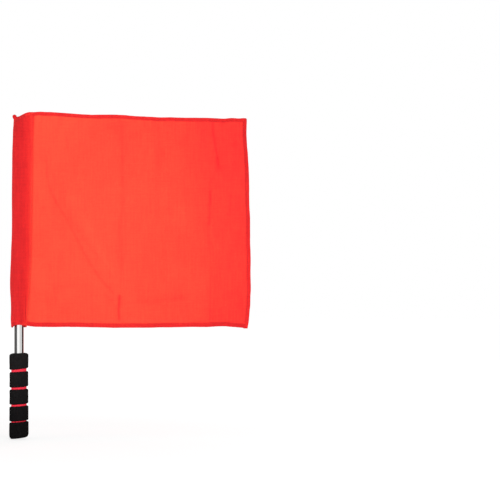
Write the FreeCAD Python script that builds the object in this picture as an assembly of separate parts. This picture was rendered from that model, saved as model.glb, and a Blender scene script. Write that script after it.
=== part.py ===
import FreeCAD, Part
import math
import os

os.makedirs("parts", exist_ok=True)

# Hand flag, in millimetres. The pole's axis is the Z axis, and z = 0 is at the middle of the grip.
# The cloth flies towards +X, and its front face looks towards -Y.

# Grip: foam bands with narrower foam rings between them
grip_length = 128.0
grip_diameter = 28.0
grip_ring_diameter = 23.0
grip_edge_radius = 1.9
grip_ring_height_shares = (0.2035, 0.394, 0.593, 0.801)
grip_ring_thickness_shares = (0.013, 0.0245, 0.0275, 0.0325)
grip_ring_top_slant_shares = (0.075, 0.067, 0.07, 0.104)
grip_ring_foot_slant_shares = (0.085, 0.067, 0.042, 0.058)
grip_foot_slant_share = 0.12
grip_bore_clearance = 0.05

# Pole: a thin steel tube with a plastic cap above and a plug below
pole_diameter = 14.0
pole_wall = 0.6
pole_end_inset = 4.0
plug_clearance = 0.03
plug_depth = 12.0
cap_height = 2.2
cap_edge_radius = 1.8
end_plug_rim = 1.4
bare_pole_length = 39.0

# Cloth: one thin layer, with its height at the sleeve and its reach at the fly
cloth_thickness = 0.5
hoist_height = 323.0
fly_reach = 347.6
sewn_gap = 0.06
top_edge_drop = 10.9
bottom_edge_sag = 1.6
fly_edge_bow = 6.2

# Edges of the cloth: shares of the fly reach, against shares of the drop, the sag or the bow
top_edge_shares = ((0.06, 0.0), (0.263, 0.31), (0.401, 0.37), (0.574, 0.69), (0.885, 0.91), (0.982, 1.0))
bottom_edge_shares = ((0.05, 0.15), (0.08, -0.25), (0.40, 0.5), (0.605, -0.2), (0.95, 0.2), (0.99, 1.0))
fly_edge_shares = ((0.0, 0.5), (0.11, 0.0), (0.34, 0.1), (0.65, 0.5), (0.97, 1.0))

# Folds of the panel: arcs from crease to crease, with how far each one leans back or forward
fold_place_shares = (0.19, 0.437, 0.63, 0.825, 1.0)
fold_lean_top_shares = (0.25, -0.35, 0.2, -0.3, 0.15)
fold_lean_bottom_shares = (0.55, -0.75, 0.35, -0.55, 0.6)
fold_belly_shares = (0.12, 0.35, -0.3, 0.22, -0.2)
fold_depth = 6.0

# Hems: the cloth turned over once more, and held by a row of thread
top_hem_width = 5.6
bottom_hem_width = 6.6
fly_hem_width = 5.0
hem_thickness = 1.1
thread_width = 0.45
thread_height = 0.3
thread_inset = 1.1

# Sleeve: wraps the pole and closes on the panel
sleeve_clearance = 0.5
sleeve_spare_width = 12.9
sleeve_seam_thickness = 1.5
sleeve_seam_width = 2.8
sleeve_slack = 5.0
sleeve_flare = 1.0
sleeve_mouth_arch = 3.4
sleeve_mouth_reach = 0.6
sleeve_level_shares = (0.0, 0.173, 0.406, 0.684, 0.944)
sleeve_spare_shares = (0.37, 0.65, 0.85, 0.95, 1.0)
sleeve_slack_shares = (0.62, 0.9, 0.55, 0.42, 0.08)
sleeve_flare_shares = (0.8, 1.0, 0.5, 0.2, 0.0)
mouth_thread_rise = 5.2

# Sewn-shut top of the sleeve, and the folded tip beside it
closure_height = 13.4
closure_rest_gap = 0.3
closure_edge_thickness = 2.4
closure_shoulder_drop = 9.7
closure_edge_shares = ((-0.6, 1.0), (-0.15, 0.74), (0.2, 0.42), (0.62, 0.05), (1.0, 0.0))
tip_length = 8.0
tip_width = 5.2
tip_thickness = 2.8
tip_edge_radius = 1.2
tip_place_share = 0.35
tip_lean_share = 0.25

# Cuts reach this far past what they cut
overrun = 20.0

# Radii and heights that follow from the sizes above
pole_radius = pole_diameter / 2
bore_radius = pole_radius - pole_wall
grip_radius = grip_diameter / 2
grip_floor = -grip_length / 2
grip_top = grip_length / 2
pole_foot = grip_floor + pole_end_inset
mouth_height = grip_top + bare_pole_length
cloth_top = mouth_height + hoist_height
closure_floor = cloth_top - closure_height
cap_top = closure_floor - closure_rest_gap
tube_top = cap_top - cap_height
wrap_radius = pole_radius + sleeve_clearance + cloth_thickness
seam_reach = wrap_radius + sleeve_spare_width


def vec(x, y, z):
    return FreeCAD.Vector(x, y, z)


def save(name, shape):
    shape.exportStep("parts/" + name + ".step")


def ring(outer_radius, inner_radius, low, high):
    """A tube from one height to another, on the pole's axis."""
    outer = Part.makeCylinder(outer_radius, high - low, vec(0, 0, low))
    inner = Part.makeCylinder(inner_radius, high - low + 2 * overrun, vec(0, 0, low - overrun))
    return outer.cut(inner)


def profile_prism(points, front, back):
    """An outline drawn in X and Z, pushed along Y from the front to the back."""
    wire = Part.makePolygon([vec(x, front, z) for x, z in points + points[:1]])
    return Part.Face(wire).extrude(vec(0, back - front, 0))


def blend(low, high, share):
    return low + (high - low) * share


def along(points, place):
    """The value at a place on a line of (place, value) points."""
    for (start, first), (end, second) in zip(points, points[1:]):
        if place <= end:
            return blend(first, second, (place - start) / (end - start))
    return points[-1][1]


# Grip

def slanted_slab(low, low_slant, high, high_slant):
    """The part of the grip between two slanted planes that rise towards +X."""
    reach = grip_diameter
    corners = [
        (-reach, low - reach * low_slant),
        (reach, low + reach * low_slant),
        (reach, high + reach * high_slant),
        (-reach, high - reach * high_slant),
    ]
    return profile_prism(corners, -reach, reach)


def grip_levels():
    """Height and slant of each red ring's lower face and upper face, from the bottom up."""
    levels = []
    places = zip(grip_ring_height_shares, grip_ring_thickness_shares)
    slants = zip(grip_ring_foot_slant_shares, grip_ring_top_slant_shares)
    for (height_share, thickness_share), (low_slant, high_slant) in zip(places, slants):
        middle = grip_floor + grip_length * height_share
        half = grip_length * thickness_share / 2
        levels.append((middle - half, low_slant, middle + half, high_slant))
    return levels


def grip_blank(radius):
    """A plain foam tube that reaches past both ends of the grip."""
    return ring(radius, pole_radius + grip_bore_clearance, grip_floor - overrun, grip_top + overrun)


def rounded_band(low, low_slant, high, high_slant):
    """One black band, with its two outer rims rounded."""
    band = grip_blank(grip_radius).common(slanted_slab(low, low_slant, high, high_slant))
    rims = [edge for edge in band.Edges if edge.BoundBox.XLength > grip_diameter - pole_wall]
    rims = [edge for edge in rims if len(edge.Vertexes) == 1]
    return band.makeFillet(grip_edge_radius, rims)


def make_grip():
    floor_slant = grip_foot_slant_share
    floor = grip_floor + grip_radius * floor_slant
    rings = len(grip_levels())
    for index, (low, low_slant, high, high_slant) in enumerate(grip_levels()):
        save("grip_band_%d" % (rings + 1 - index), rounded_band(floor, floor_slant, low, low_slant))
        spacer = grip_blank(grip_ring_diameter / 2).common(slanted_slab(low, low_slant, high, high_slant))
        save("grip_ring_%d" % (rings - index), spacer)
        floor = high
        floor_slant = high_slant
    save("grip_band_1", rounded_band(floor, floor_slant, grip_top, 0))


# Pole

def make_pole():
    save("pole_tube", ring(pole_radius, bore_radius, pole_foot, tube_top))
    stem_radius = bore_radius - plug_clearance
    stem = Part.makeCylinder(stem_radius, plug_depth, vec(0, 0, tube_top - plug_depth))
    head = Part.makeCylinder(pole_radius, cap_height, vec(0, 0, tube_top))
    rim = [edge for edge in head.Edges if edge.CenterOfMass.z > cap_top - cap_height / 4]
    head = head.makeFillet(cap_edge_radius, rim)
    save("pole_top_cap", stem.fuse(head).removeSplitter())
    stem = Part.makeCylinder(stem_radius, plug_depth, vec(0, 0, pole_foot))
    foot = Part.makeCylinder(pole_radius, end_plug_rim, vec(0, 0, pole_foot - end_plug_rim))
    save("pole_end_plug", stem.fuse(foot).removeSplitter())


# Cloth panel

def seam_line():
    """Where the sleeve meets the panel, from the mouth up, as X and Z."""
    line = []
    for level, fullness in zip(sleeve_level_shares, sleeve_spare_shares):
        line.append((wrap_radius + sleeve_spare_width * fullness, mouth_height + hoist_height * level))
    return line


def edge_lines():
    """The outer top, bottom and fly edges of the cloth, as X and Z."""
    top = [(fly_reach * place, cloth_top - top_edge_drop * drop) for place, drop in top_edge_shares]
    bottom = [
        (fly_reach * place, mouth_height - bottom_edge_sag * sag) for place, sag in bottom_edge_shares
    ]
    fly = []
    for height, bow in fly_edge_shares:
        fly.append((fly_reach - fly_edge_bow * bow, mouth_height + hoist_height * height))
    return top, bottom, fly


def wave_section(height, lean_shares, front, back):
    """One level outline of the folded cloth, between two distances behind its middle."""
    places = [seam_reach] + [fly_reach * share for share in fold_place_shares]
    places[-1] += overrun
    leans = [0] + [fold_depth * share for share in lean_shares]
    bellies = [fold_depth * share for share in fold_belly_shares]

    def arcs(offset):
        edges = [Part.makeLine(vec(0, offset, height), vec(seam_reach, offset, height))]
        for index in range(len(places) - 1):
            start = vec(places[index], leans[index] + offset, height)
            end = vec(places[index + 1], leans[index + 1] + offset, height)
            middle = (start + end) / 2 + vec(0, bellies[index], 0)
            edges.append(Part.Arc(start, middle, end).toShape())
        return edges

    near = arcs(front)
    far = arcs(back)
    start = Part.makeLine(far[0].valueAt(far[0].FirstParameter), near[0].valueAt(near[0].FirstParameter))
    end = Part.makeLine(near[-1].valueAt(near[-1].LastParameter), far[-1].valueAt(far[-1].LastParameter))
    return Part.Wire(Part.__sortEdges__([start] + near + [end] + far))


def wave_slab(front, back):
    """The folded cloth as a slab that reaches past its edges, to be cut to an outline."""
    low = wave_section(mouth_height - overrun, fold_lean_bottom_shares, front, back)
    high = wave_section(cloth_top + overrun, fold_lean_top_shares, front, back)
    return Part.makeLoft([low, high], True, True)


def cut_from_slab(front, back, outline):
    """A piece of the folded cloth inside an outline drawn in X and Z."""
    reach = fold_depth + overrun
    piece = wave_slab(front, back).common(profile_prism(outline, -reach, reach))
    return piece.Solids[0]


def raised(line, distance):
    return [(x, z + distance) for x, z in line]


def pulled(line, distance):
    return [(x - distance, z) for x, z in line]


def side(upright, low, high):
    """The points of an upright line between two heights."""
    by_height = [(z, x) for x, z in upright]
    inside = [(x, z) for x, z in upright if low < z < high]
    return [(along(by_height, low), low)] + inside + [(along(by_height, high), high)]


def crossing_height(level, upright):
    """The height at which a nearly level line meets an upright one."""
    by_height = [(z, x) for x, z in upright]
    height = level[0][1]
    for place, level_height in level:
        height = along(level, along(by_height, height))
    return height


def patch(lower, upper, left, right):
    """The outline between two nearly level lines and two upright ones."""
    left_side = side(left, crossing_height(lower, left), crossing_height(upper, left))
    right_side = side(right, crossing_height(lower, right), crossing_height(upper, right))
    below = [(x, z) for x, z in lower if left_side[0][0] < x < right_side[0][0]]
    above = [(x, z) for x, z in upper if left_side[-1][0] < x < right_side[-1][0]]
    return left_side[::-1] + below + right_side + above[::-1]


def make_cloth():
    top, bottom, fly = edge_lines()
    inner_top = raised(top, -top_hem_width)
    inner_bottom = raised(bottom, bottom_hem_width)
    inner_fly = pulled(fly, fly_hem_width)
    seam = pulled(seam_line(), -sewn_gap)

    half = cloth_thickness / 2
    outline = patch(inner_bottom, inner_top, seam, inner_fly)
    save("flag_panel", cut_from_slab(-half, half, outline))

    # Hems
    front = -hem_thickness / 2
    back = hem_thickness / 2
    hem_end = pulled(inner_fly, sewn_gap)
    outline = patch(raised(inner_top, sewn_gap), top, seam, hem_end)
    save("top_hem", cut_from_slab(front, back, outline))
    outline = patch(bottom, raised(inner_bottom, -sewn_gap), seam, hem_end)
    save("bottom_hem", cut_from_slab(front, back, outline))
    outline = patch(bottom, top, pulled(inner_fly, -sewn_gap), fly)
    save("fly_hem", cut_from_slab(front, back, outline))

    # Threads of the hems, on their front faces beside the inner edges
    face = front - thread_height
    lower = raised(inner_top, thread_inset)
    outline = patch(lower, raised(lower, thread_width), seam, hem_end)
    save("top_hem_thread", cut_from_slab(face, front, outline))
    lower = raised(inner_bottom, -thread_inset)
    outline = patch(lower, raised(lower, thread_width), seam, hem_end)
    save("bottom_hem_thread", cut_from_slab(face, front, outline))
    left = pulled(inner_fly, -thread_inset)
    right = pulled(left, -thread_width)
    outline = patch(raised(bottom, thread_inset), raised(top, -thread_inset), left, right)
    save("fly_hem_thread", cut_from_slab(face, front, outline))


# Sleeve

def teardrop(height, radius, slack, seam, half_end):
    """A level outline round the pole: wrapped on the left, drawn to the seam on the right."""
    touch = math.acos(min(radius / seam, 1.0))
    touch_x = radius * math.cos(touch)
    touch_y = radius * math.sin(touch)
    left = radius + slack
    half = math.sqrt(0.5)
    turn = (touch + math.pi / 2) / 2

    def flank(facing):
        end = vec(seam, facing * half_end, height)
        tangent = vec(touch_x, facing * touch_y, height)
        shoulder = vec(radius * math.cos(turn), facing * radius * math.sin(turn), height)
        crown = vec(0, facing * radius, height)
        cheek = vec(-left * half, facing * radius * half, height)
        far_left = vec(-left, 0, height)
        return [
            Part.makeLine(end, tangent),
            Part.Arc(tangent, shoulder, crown).toShape(),
            Part.Arc(crown, cheek, far_left).toShape(),
        ]

    end_line = Part.makeLine(vec(seam, -half_end, height), vec(seam, half_end, height))
    return Part.Wire(Part.__sortEdges__(flank(-1) + flank(1) + [end_line]))


def sleeve_levels():
    """Height, radius, slack and seam reach of the sleeve at each level."""
    levels = []
    shares = zip(sleeve_level_shares, sleeve_flare_shares, sleeve_slack_shares, sleeve_spare_shares)
    for level, flare, slack, fullness in shares:
        height = mouth_height + hoist_height * level
        radius = wrap_radius + sleeve_flare * flare
        levels.append((height, radius, sleeve_slack * slack, wrap_radius + sleeve_spare_width * fullness))
    return levels


def sleeve_shell(inset, seam_inset, end_thickness):
    """The sleeve's outer form, or its hollow when it is drawn in by the cloth."""
    levels = sleeve_levels()
    levels.append((closure_floor,) + levels[-1][1:])
    wires = []
    for height, radius, slack, seam in levels:
        wires.append(teardrop(height, radius - inset, slack, seam - seam_inset, end_thickness / 2))
    return Part.makeLoft(wires, True, True)


def mouth_cut():
    """What the arched front edge of the mouth leaves out of the front layer."""
    height, radius, slack, seam = sleeve_levels()[0]
    left = vec(-radius - slack - sleeve_mouth_reach, 0, height)
    right = vec(seam, 0, height)
    top = (left + right) / 2 + vec(0, 0, sleeve_mouth_arch)
    edges = [Part.Arc(left, top, right).toShape(), Part.makeLine(right, left)]
    return Part.Face(Part.Wire(edges)).extrude(vec(0, -grip_diameter, 0))


def thread_shell():
    """A skin of thread height all over the outside of the sleeve."""
    skin = sleeve_shell(-thread_height, 0, sleeve_seam_thickness + 2 * thread_height)
    return skin.cut(sleeve_shell(0, 0, sleeve_seam_thickness))


def make_sleeve():
    outer = sleeve_shell(0, 0, sleeve_seam_thickness)
    hollow = sleeve_shell(cloth_thickness, sleeve_seam_width, cloth_thickness)
    sleeve = outer.cut(hollow).cut(mouth_cut())
    save("pole_sleeve", sleeve.Solids[0])

    # Thread along the seam, on the front, from above the mouth's thread to below the closure
    low = mouth_height + mouth_thread_rise + 2 * thread_width
    line = [(x, z) for x, z in seam_line() if z > low]
    by_height = [(z, x) for x, z in seam_line()]
    right = pulled([(along(by_height, low), low)] + line, thread_inset)
    left = pulled(right, thread_width)
    strip = profile_prism(right + left[::-1], -grip_diameter, 0)
    save("sleeve_seam_thread", thread_shell().common(strip).Solids[0])

    # Thread round the mouth
    low = mouth_height + mouth_thread_rise
    band = Part.makeBox(2 * seam_reach, 2 * seam_reach, thread_width, vec(-seam_reach, -seam_reach, low))
    save("sleeve_mouth_thread", thread_shell().common(band).Solids[0])


# Sewn-shut top

def closure_outline():
    """The closure seen from the front: a shoulder on the left that rises to the cloth's top edge."""
    edge = []
    for place, drop in closure_edge_shares:
        edge.append((seam_reach * place, cloth_top - closure_shoulder_drop * drop))
    return [(edge[0][0], closure_floor), (seam_reach, closure_floor)] + edge[::-1]


def make_closure():
    slack = sleeve_slack * sleeve_slack_shares[-1]
    edge_radius = closure_edge_thickness / 2
    edge_slack = wrap_radius + slack - edge_radius
    half_end = sleeve_seam_thickness / 2
    wide = teardrop(closure_floor, wrap_radius, slack, seam_reach, half_end)
    thin = teardrop(cloth_top, edge_radius, edge_slack, seam_reach, half_end)
    outline = profile_prism(closure_outline(), -grip_diameter, grip_diameter)
    closure = Part.makeLoft([wide, thin], True, True).common(outline).Solids[0]
    save("sleeve_top", closure)

    # Folded tip that stands up at the shoulder
    tip = Part.makeBox(tip_width, tip_thickness, tip_length)
    tip = tip.makeFillet(tip_edge_radius, tip.Edges)
    tip.translate(vec(-tip_width / 2, -tip_thickness / 2, 0))
    tip.rotate(vec(0, 0, 0), vec(0, -1, 0), math.degrees(math.atan(tip_lean_share)))
    tip.translate(vec(-seam_reach * tip_place_share, 0, cloth_top - closure_shoulder_drop - tip_width / 2))
    pieces = tip.cut(closure).cut(sleeve_shell(0, 0, sleeve_seam_thickness)).Solids
    save("corner_tip", max(pieces, key=lambda piece: piece.BoundBox.ZMax))


make_grip()
make_pole()
make_cloth()
make_sleeve()
make_closure()
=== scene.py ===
import math

import bpy
import numpy as np
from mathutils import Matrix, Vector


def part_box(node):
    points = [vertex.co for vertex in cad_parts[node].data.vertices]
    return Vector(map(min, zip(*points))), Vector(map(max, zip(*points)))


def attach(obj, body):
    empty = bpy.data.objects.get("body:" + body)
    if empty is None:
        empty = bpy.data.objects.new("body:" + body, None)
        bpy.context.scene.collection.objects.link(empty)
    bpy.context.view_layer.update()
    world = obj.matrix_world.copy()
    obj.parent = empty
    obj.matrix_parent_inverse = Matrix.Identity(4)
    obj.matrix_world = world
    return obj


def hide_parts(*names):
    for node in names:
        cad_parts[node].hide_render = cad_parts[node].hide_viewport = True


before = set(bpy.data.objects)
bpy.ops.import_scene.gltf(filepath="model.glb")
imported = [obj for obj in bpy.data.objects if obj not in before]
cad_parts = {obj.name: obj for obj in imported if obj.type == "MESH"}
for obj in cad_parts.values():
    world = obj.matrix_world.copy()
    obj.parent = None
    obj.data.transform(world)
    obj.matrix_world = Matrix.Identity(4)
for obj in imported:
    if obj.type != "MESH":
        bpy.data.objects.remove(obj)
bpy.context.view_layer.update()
scene = bpy.context.scene

# The looks of a hand flag. The pole stands on the Z axis, the cloth flies towards +X, and its front
# faces -Y. Lengths are in metres: a size in millimetres is a number times MM. The cloth's tone runs
# from 0, the deep red of a fold, to about 1, the light orange red of a single layer. The tone holds
# painted light and shade: the light that comes through a single layer from behind, and the shade of
# folds, creases and doubled cloth.
MM = 0.001
TURN = 2 * math.pi

# Places read from the frame
floor_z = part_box("grip_band_5")[0].z
grip_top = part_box("grip_band_1")[1].z
grip_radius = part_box("grip_band_3")[1].x
inset_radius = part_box("grip_ring_3")[1].x
pole_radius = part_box("pole_tube")[1].x
mouth_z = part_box("pole_sleeve")[0].z
cloth_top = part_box("sleeve_top")[1].z
fly_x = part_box("fly_hem")[1].x
hoist = cloth_top - mouth_z

# Edges of the cloth: shares of the fly's reach or of the hoist, against shares of these sizes
top_edge_drop = 10.9 * MM
bottom_edge_sag = 1.6 * MM
fly_edge_bow = 6.4 * MM
seam_reach = 20.9 * MM
left_reach = 13.6 * MM
top_shares = (
    (0.03, 0.02), (0.06, 0.03), (0.086, -0.03), (0.125, 0), (0.194, 0.125), (0.263, 0.295),
    (0.3, 0.36), (0.4, 0.375), (0.436, 0.41), (0.505, 0.585), (0.567, 0.675), (0.608, 0.75),
    (0.643, 0.725), (0.712, 0.79), (0.815, 0.83), (0.85, 0.885), (0.884, 0.925), (0.919, 0.835),
    (0.955, 0.885), (0.971, 0.84), (0.985, 0.89),
)
bottom_shares = (
    (0.034, -1.33), (0.0386, -1.26), (0.047, -0.86), (0.06, -0.65), (0.09, -0.25), (0.125, -0.22),
    (0.23, -0.19), (0.3, 0.05), (0.351, 0.22), (0.401, 0.48), (0.45, 0.42), (0.5, 0.38),
    (0.539, 0.42), (0.574, 0.36), (0.62, 0.14), (0.677, 0.1), (0.746, -0.28), (0.815, -0.3),
    (0.85, -0.75), (0.884, -0.92), (0.919, -0.35), (0.9535, 0.35), (0.985, 1.05),
)
fly_shares = (
    (-0.005, 0.74), (0.0245, 0.48), (0.062, 0.32), (0.1, 0.14), (0.136, 0.08), (0.173, 0),
    (0.247, 0.07), (0.322, 0.03), (0.396, 0.14), (0.507, 0.18), (0.582, 0.34), (0.656, 0.37),
    (0.73, 0.47), (0.7675, 0.575), (0.805, 0.665), (0.842, 0.85), (0.916, 1), (0.953, 0.92),
)
seam_shares = (
    (0, 0.54), (0.02, 0.57), (0.05, 0.63), (0.1, 0.7), (0.22, 0.82), (0.405, 0.908),
    (0.684, 0.966), (0.916, 1),
)
left_shares = (
    (0, 0.87), (0.034, 0.92), (0.08, 0.895), (0.127, 0.92), (0.173, 0.99), (0.22, 1),
    (0.266, 0.96), (0.312, 0.91), (0.359, 0.88), (0.405, 0.825), (0.498, 0.79), (0.591, 0.8),
    (0.73, 0.77), (0.823, 0.745), (0.87, 0.7), (0.916, 0.67), (0.944, 0.62), (0.962, 0.6),
)

# Main folds of the panel, as the frame has them
overrun = 20 * MM
fold_depth = 6 * MM
fold_softness = 3 * MM
fold_step = 0.5 * MM
fold_places = (0.19, 0.437, 0.63, 0.825, 1)
fold_top_leans = (0.25, -0.35, 0.2, -0.3, 0.15)
fold_bottom_leans = (0.55, -0.75, 0.35, -0.55, 0.6)
fold_bellies = (0.12, 0.35, -0.3, 0.22, -0.2)

# Creases: (depth and half width in mm, painted shade, points as shares of the fly's reach and of the
# hoist)
creases = (
    (0.35, 3.2, 0.135, ((0.4464, 0.995), (0.4464, 0.59), (0.4385, 0.48), (0.442, 0.36), (0.442, 0.15))),
    (0.9, 1.5, 0.44, ((0.433, 0.16), (0.4335, 0.127), (0.4305, 0.08), (0.4345, 0.02))),
    (0.5, 2.1, 0.14, (
        (0.12, 0.8), (0.1235, 0.684), (0.155, 0.591), (0.2069, 0.498), (0.2975, 0.3124),
        (0.356, 0.2195), (0.397, 0.173), (0.426, 0.125), (0.437, 0.05),
    )),
    (-0.4, 6, -0.09, ((0.2, 0.65), (0.3, 0.45), (0.37, 0.31), (0.43, 0.19))),
    (0.3, 2.8, 0.07, (
        (0.165, 0.79), (0.18, 0.69), (0.2, 0.56), (0.26, 0.44), (0.37, 0.29), (0.43, 0.18),
    )),
    (0.3, 2.4, 0.08, ((0.36, 0.16), (0.4, 0.12), (0.43, 0.07))),
    (0.6, 1.5, 0.28, ((0.8335, 0.985), (0.838, 0.893), (0.85, 0.823), (0.866, 0.71))),
    (0.5, 1.6, 0.24, ((0.826, 0.65), (0.825, 0.59), (0.822, 0.53), (0.819, 0.46))),
    (0.3, 1.8, 0.08, ((0.819, 0.5), (0.817, 0.45), (0.824, 0.33))),
    (0.2, 2.6, 0.07, ((0.602, 0.97), (0.5975, 0.57))),
    (0.2, 2, 0.09, ((0.155, 0.19), (0.25, 0.197), (0.33, 0.193))),
    (0.3, 4.5, 0.12, ((0.49, 0.12), (0.61, 0.125), (0.75, 0.14))),
    (0.2, 3, 0.06, ((0.12, 0.18), (0.126, 0.08))),
    (0.4, 1.4, 0.1, ((0.822, 0.09), (0.8235, 0.01))),
)
crease_steps = 6
crease_start = (0, 0.12)
crease_end = (1, 0.8)
crease_core = 0.75
crease_evenness = 0.85

# Random bumps of the panel: (depth or change of tone, size across and up, seed)
crease_change = (0.25, (14 * MM, 1), 7)
panel_swells = (0.7 * MM, (38 * MM, 62 * MM), 1)
panel_ripples = (0.22 * MM, (11 * MM, 24 * MM), 2)
hem_puckers = (0.28 * MM, (4.5 * MM, 30 * MM), 3)
hem_pucker_reach = 6 * MM
fly_puckers = (0.22 * MM, (30 * MM, 5 * MM), 4)
fly_pucker_reach = 5 * MM
panel_patches = (0.035, (30 * MM, 45 * MM), 5)
panel_mottle = (0.025, (9 * MM, 14 * MM), 6)
top_streaks = (0.07, (5 * MM, 30 * MM), 8)
top_streak_reach = 9 * MM

# Panel: its mesh and its tone, with painted shade on some of its parts, over spans of shares
panel_columns = 232
panel_rows = 214
panel_lap = 0.8 * MM
panel_free_reach = 30 * MM
panel_tones = (
    (0, 0.99), (0.35, 1), (0.5, 0.96), (0.6, 0.93), (0.75, 0.86), (0.82, 0.8), (0.9, 0.73), (1, 0.69),
)
# Painted shade on the panel's upper right, low down and beside the fold at its right
upper_right_shade = 0.1
upper_part = (0.45, 0.95)
right_part = (0, 0.45)
lower_shade = 0.035
lower_part = (0.25, 0)
corner_shade = 0.05
corner_start = (0.817, 0.823)
corner_end = (0.92, 0.84)
corner_height = (0.36, 0.28)
# Painted shade along the hems' inner edges, along the seam, and in the corners where they meet
hem_line_shade = 0.06
hem_line_reach = 0.6 * MM
seam_line_shade = 0.05
seam_line_reach = 1.2 * MM
seam_corner_shade = 0.35
seam_corner_reach = 2.2 * MM
# Tones beside the seam's light edge: the doubled cloth's deep red, and past it the lighter red of
# painted light through one layer
panel_seam_tone = 0.58
sleeve_seam_tone = 0.93
light_edge = (
    (0, 0.56), (0.08, 0.58), (0.2, 0.72), (0.312, 0.82), (0.591, 0.88), (0.823, 0.97), (0.958, 1.07),
)
light_edge_width = 9 * MM
light_edge_spreads = ((0, 0.4), (0.12, 0.45), (0.3, 0.9), (0.7, 1), (0.85, 0.6), (0.96, 0.45))

# Hems: (name, way inwards, width, seed, shade of the sewing, tone along it). Their ends are how far
# they pass the cloth's corners.
top_hem_width = 5.6 * MM
bottom_hem_width = 6.6 * MM
fly_hem_width = 5.9 * MM
top_hem_ends = (1.5 * MM, -0.3 * MM)
bottom_hem_ends = (1 * MM, -0.8 * MM)
fly_hem_ends = (0.2 * MM, 0.3 * MM)
# The hems' deep tones are doubled cloth, without the painted light that comes through a single layer
hems = (
    ("top_hem", (0, -1), top_hem_width, 20, 0.02, (
        (0, 0.44), (0.38, 0.47), (0.6, 0.45), (0.74, 0.42), (0.85, 0.36), (1, 0.36),
    )),
    ("bottom_hem", (0, 1), bottom_hem_width, 30, 0.02, (
        (0, 0.45), (0.2, 0.46), (0.33, 0.5), (0.43, 0.51), (0.6, 0.47), (0.74, 0.44),
        (0.84, 0.37), (1, 0.38),
    )),
    ("fly_hem", (-1, 0), fly_hem_width, 40, 0.16, (
        (0, 0.5), (0.3, 0.49), (0.45, 0.44), (0.7, 0.4), (0.85, 0.32), (1, 0.3),
    )),
)
hem_half_thickness = 0.5 * MM
hem_step = 1.2 * MM
hem_sides = 18
hem_roundness = 0.55
hem_pinch = 0.45
hem_dimple = 0.2
hem_pinch_half_width = 0.7 * MM
hem_edge_wobble = (0.12 * MM, (7 * MM, 1), 0)
hem_inner_wobble = (0.3 * MM, (9 * MM, 1), 1)
hem_puffs = (0.22, (3.5 * MM, 3 * MM), 2)
hem_streaks = (0.05, (12 * MM, 2 * MM), 3)

# Stitches: each has a profile of (share of its length, height and thickness in radii)
stitch_pitch = 2.8 * MM
stitch_length = 2.2 * MM
stitch_radius = 0.21 * MM
stitch_inset = 1.1 * MM
stitch_seat = 0.62
stitch_sides = 6
stitch_profile = (
    (-0.5, -1.3, 0.5), (-0.42, -0.3, 0.9), (-0.2, 0.45, 1),
    (0.2, 0.45, 1), (0.42, -0.3, 0.9), (0.5, -1.3, 0.5),
)

# Sleeve: its form
sleeve_columns = 75
sleeve_rows = 260
right_share = 0.6
sleeve_fittings = 3
cloth_thickness = 0.45 * MM
sleeve_radius = 8 * MM
sleeve_slope = 1.5
sleeve_flare = 1 * MM
flare_shares = ((0, 0.8), (0.173, 1), (0.406, 0.5), (0.684, 0.2), (0.944, 0))
seam_half_thickness = 0.62 * MM
seam_strip = 3 * MM
mouth_arch = 3.4 * MM
front_arch = (
    (-1, 0.3), (-0.93, 0), (-0.84, -0.14), (-0.72, 0.16), (-0.55, 0.78), (-0.3, 1), (0.35, 1),
    (0.65, 0.7), (0.88, 0.45), (1, 0.5),
)
back_arch = (
    (-1, 0.3), (-0.9, 0.25), (-0.75, 0.4), (-0.55, 0.75), (-0.3, 0.9), (0.3, 0.8), (0.55, 0.15),
    (0.7, 0), (0.88, 0), (1, 0.1),
)
closure_drop = 9.7 * MM
closure_shares = (
    (-0.4, 1.16), (-0.26, 0.88), (-0.15, 0.75), (0, 0.67), (0.14, 0.51), (0.28, 0.35),
    (0.425, 0.2), (0.57, 0.095), (0.71, 0.02), (0.93, 0.02), (1, 0),
)
pinch_height = 7.5 * MM
lip_half_thickness = 0.55 * MM
lip_height = 0.8 * MM
lip_spread = 0.2

# Sleeve: its rows of stitches, wrinkles and grooves. A groove is (depth, place, half width).
seam_row_ends = (12 * MM, 8 * MM)
mouth_row_shares = (0.75, 0.8)
mouth_hem_height = 8 * MM
mouth_row_height = mouth_hem_height + 2 * MM
closure_row_start = -3.5 * MM
closure_row_drop = 3.4 * MM
mouth_band = (mouth_hem_height + 3.4 * MM, mouth_hem_height + 2.2 * MM)
mouth_band_depth = 0.3 * MM
mouth_crumples = (0.4 * MM, (2.4 * MM, 7 * MM), 56)
mouth_crease_reach = 9.7 * MM
mouth_crease_shares = ((0.02, 0), (0.04, 1), (0.1, 0.9), (0.15, 0.4), (0.2, 0))
mouth_crease_groove = (0.9 * MM, mouth_crease_reach, 0.8 * MM)
closure_groove = (0.35 * MM, closure_row_drop, 1.1 * MM)
gathers = (0.8 * MM, (1.7 * MM, 5 * MM), 50)
gather_lean = 0.5
gather_start = 1 * MM
gather_reach = 5 * MM
sleeve_folds = (0.4 * MM, (9 * MM, 55 * MM), 52)
sleeve_ripples = (0.15 * MM, (4 * MM, 16 * MM), 54)
sleeve_loose_depth = 1.5 * MM
deepest_wrinkle = 0.25 * MM

# Sleeve: its tone, with painted shade and painted light. A line is (change of tone, place, half width).
# Across the sleeve: painted shade over the pole inside, painted light at its left rim and towards the
# seam
sleeve_tones = (
    (-1, 0.64), (-0.85, 0.4), (-0.5, 0.31), (0, 0.31), (0.3, 0.37), (0.55, 0.47), (0.75, 0.61),
    (1, 0.65),
)
sleeve_streaks = (0.04, (5 * MM, 30 * MM), 60)
# Painted light and shade of the puckers in the mouth band
mouth_pucker_light_and_shade = (0.2, (1.6 * MM, 2.2 * MM), 61)
mouth_band_shade = 0.01
mouth_row_line = (0.07, mouth_hem_height + 2.4 * MM, 0.8 * MM)
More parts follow.
